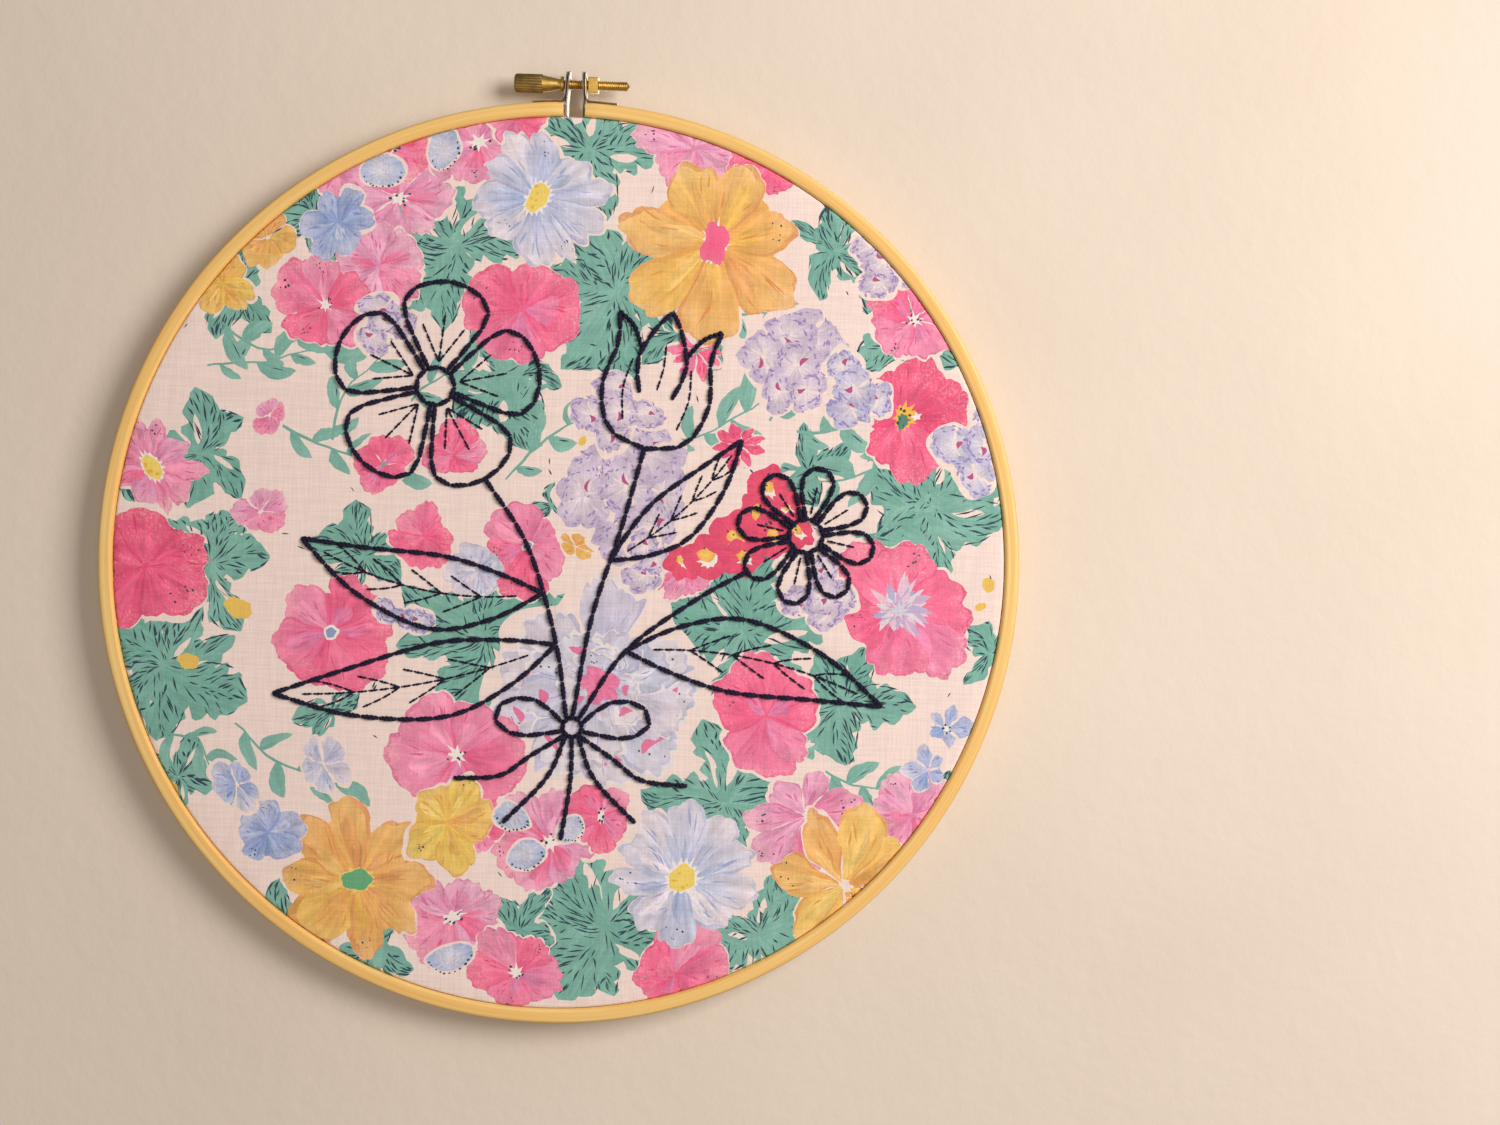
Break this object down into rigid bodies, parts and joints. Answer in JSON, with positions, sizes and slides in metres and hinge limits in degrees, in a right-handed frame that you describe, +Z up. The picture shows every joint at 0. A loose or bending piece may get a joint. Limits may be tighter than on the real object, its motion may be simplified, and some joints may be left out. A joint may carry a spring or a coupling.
{
  "type": "embroidered printed cloth in a wooden embroidery hoop",
  "caption": "Floral cotton cloth stretched in a round wooden embroidery hoop with a brass clamp screw, stitched with a navy outline bouquet, to hang on a wall.",
  "frame": {"origin": "where a wall nail bears: under the top of the inner ring, in the plane of the hoop's back", "axes": "+X to the right seen from the front, +Y into the wall, +Z up; the stitched face looks along -Y"},
  "size_m": [0.236, 0.0101, 0.2447],
  "materials": {
    "outer_ring": "smooth pale wood, light satin",
    "inner_ring": "smooth pale wood, unfinished",
    "cloth": "plain-woven cotton printed with flowers, matt",
    "thread": "stranded cotton thread, slight sheen",
    "bracket": "plated steel strip, worn",
    "screw": "turned brass, aged",
    "nut": "plain brass"
  },
  "bodies": {
    "hoop": {"outer_ring": "outer_ring", "inner_ring": "inner_ring", "cloth": "cloth", "stitched_bouquet": "thread", "left_bracket": "bracket", "right_bracket": "bracket", "nut": "nut"},
    "screw": {"clamp_screw": "screw"}
  },
  "joints": [
    {"name": "clamp_screw_turn", "type": "hinge", "parent": "hoop", "child": "screw", "pos_m": [0, -0.00475, 0.014], "axis": [1, 0, 0], "continuous": true}
  ]
}
